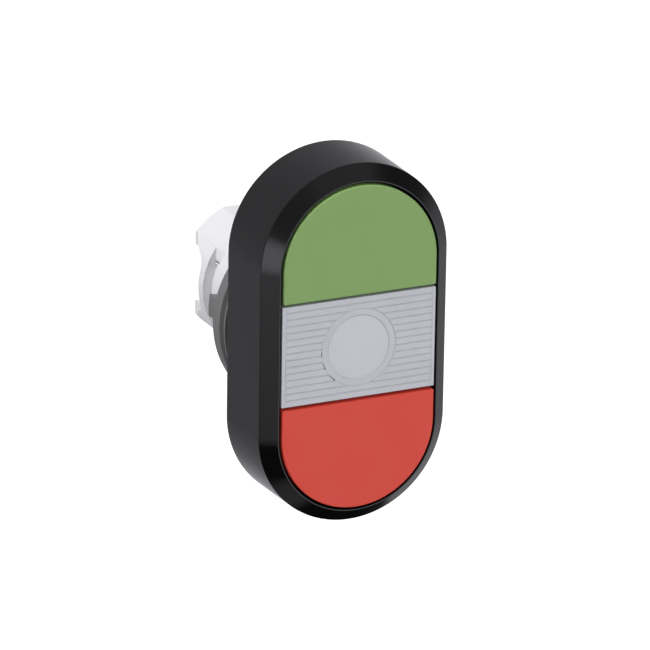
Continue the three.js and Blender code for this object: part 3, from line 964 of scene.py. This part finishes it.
def studio_world():
    """A pale surround seen as reflections: grey walls above a dark table, and a few soft panels."""
    world = bpy.data.worlds.new("studio")
    world.use_nodes = True
    bpy.context.scene.world = world
    tree = world.node_tree
    background = tree.nodes["Background"]
    direction = tree.nodes.new("ShaderNodeTexCoord")

    def math_node(operation, first, second):
        node = tree.nodes.new("ShaderNodeMath")
        node.operation = operation
        for socket, value in zip(node.inputs, (first, second)):
            if isinstance(value, float):
                socket.default_value = value
            else:
                tree.links.new(value, socket)
        return node.outputs["Value"]

    def facing(towards):
        node = tree.nodes.new("ShaderNodeVectorMath")
        node.operation = "DOT_PRODUCT"
        node.inputs[1].default_value = towards
        tree.links.new(direction.outputs["Generated"], node.inputs[0])
        return node.outputs["Value"]

    def smooth_step(value, first, last, low, high):
        node = tree.nodes.new("ShaderNodeMapRange")
        node.interpolation_type = "SMOOTHSTEP"
        node.inputs["From Min"].default_value = first
        node.inputs["From Max"].default_value = last
        node.inputs["To Min"].default_value = low
        node.inputs["To Max"].default_value = high
        tree.links.new(value, node.inputs["Value"])
        return node.outputs["Result"]

    walls = math_node("ADD", facing((WALLS["lean"], 0, 0)), WALLS["level"])
    height = facing(TABLE_EDGE["towards"])
    above_table = smooth_step(height, TABLE_EDGE["first"], TABLE_EDGE["last"], TABLE_EDGE["below"], 1.0)
    total = math_node("MULTIPLY", walls, above_table)
    for towards, outer, strength in PANELS:
        middle = facing(Vector(towards).normalized())
        glow = smooth_step(middle, math.cos(math.radians(outer)), 1.0, 0.0, strength)
        total = math_node("ADD", total, glow)
    total = math_node("MAXIMUM", total, 0.0)

    tint = tree.nodes.new("ShaderNodeVectorMath")
    tint.operation = "SCALE"
    tint.inputs[0].default_value = WALLS["tint"]
    tree.links.new(total, tint.inputs["Scale"])

    tree.links.new(tint.outputs["Vector"], background.inputs["Color"])

    # the camera itself sees plain white
    paper = tree.nodes.new("ShaderNodeBackground")
    paper.inputs["Color"].default_value = (1, 1, 1, 1)
    seen = tree.nodes.new("ShaderNodeLightPath")
    either = tree.nodes.new("ShaderNodeMixShader")
    tree.links.new(seen.outputs["Is Camera Ray"], either.inputs["Fac"])
    tree.links.new(background.outputs["Background"], either.inputs[1])
    tree.links.new(paper.outputs["Background"], either.inputs[2])
    tree.links.new(either.outputs["Shader"], tree.nodes["World Output"].inputs["Surface"])


def soft_light(name, spot, size, power):
    light = bpy.data.lights.new(name, "AREA")
    light.shape = "DISK"
    light.size = size
    light.energy = power
    lamp = bpy.data.objects.new(name, light)
    lamp.location = spot
    lamp.rotation_euler = Vector(spot).to_track_quat("Z", "Y").to_euler()
    lamp.visible_glossy = False
    bpy.context.scene.collection.objects.link(lamp)


def studio_camera():
    """The photograph's viewpoint: a long lens from the left front, a little above."""
    turn, tilt, roll = (math.radians(angle) for angle in (25.874, 19.706, 0.929))
    distance = 0.80661
    right_of_aim, above_aim = 0.004795, -0.003149
    ahead = Vector((math.sin(turn) * math.cos(tilt), math.cos(turn) * math.cos(tilt), -math.sin(tilt)))
    level = Vector((math.cos(turn), -math.sin(turn), 0))
    above = level.cross(ahead)
    right = math.cos(roll) * level + math.sin(roll) * above
    up = -math.sin(roll) * level + math.cos(roll) * above
    aim = Vector((0, FRONT_Y * MM, 0))
    data = bpy.data.cameras.new("camera")
    data.sensor_width = 36
    data.lens = 316.42
    data.clip_start = 0.01
    camera = bpy.data.objects.new("camera", data)
    rotation = Matrix((right, up, -ahead)).transposed()
    camera.matrix_world = Matrix.Translation(
        aim - ahead * distance - right * right_of_aim - up * above_aim
    ) @ rotation.to_4x4()
    bpy.context.scene.collection.objects.link(camera)
    bpy.context.scene.camera = camera


studio_camera()
studio_floor()
studio_world()
soft_light("top", (-0.15, 0.06, 0.7), 0.35, 3.2)
soft_light("left", (-0.65, 0.02, 0.06), 0.3, 1.1)
soft_light("front", (0.15, -0.6, 0.28), 0.4, 1.65)
bpy.context.scene.view_settings.view_transform = "Standard"

bezel()
base_plate()
panel_gasket()
lens()
diffuser()
light_guide()
guide_seal()
plunger_guide()
barrel()
clamp_nut()
for colour, half, paint in (("green", 1, GREEN), ("red", -1, RED)):
    cap(colour, half, paint)
    plunger(colour, half)
    boot(colour, half)
    for side in (-1, 1):
        spring(colour, half, side)
